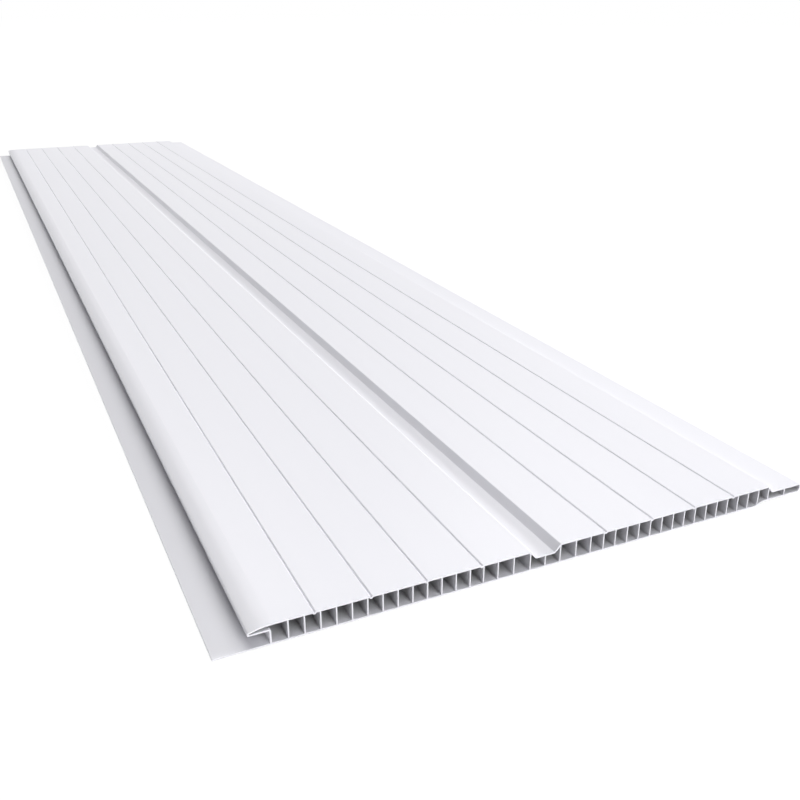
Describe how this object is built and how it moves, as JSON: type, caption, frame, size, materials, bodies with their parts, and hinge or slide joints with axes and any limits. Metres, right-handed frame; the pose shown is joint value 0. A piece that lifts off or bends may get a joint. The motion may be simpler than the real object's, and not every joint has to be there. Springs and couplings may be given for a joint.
{
  "type": "pvc ceiling panel",
  "caption": "White rigid PVC ceiling panel: a hollow extrusion with a grooved face, a nailing flange under a curved nose with a slot on one edge, and a hollow tongue on the other.",
  "frame": {"origin": "on the panel's back, in the middle of its whole width (flange tip to tongue tip) and of its length", "axes": "+Y along the extrusion, +Z out of the visible face, +X across the panel towards the tongue"},
  "size_m": [0.2164, 1, 0.007],
  "materials": {
    "white_pvc": "smooth satin white rigid PVC"
  },
  "bodies": {
    "root": {"ceiling_panel": "white_pvc"}
  },
  "joints": []
}
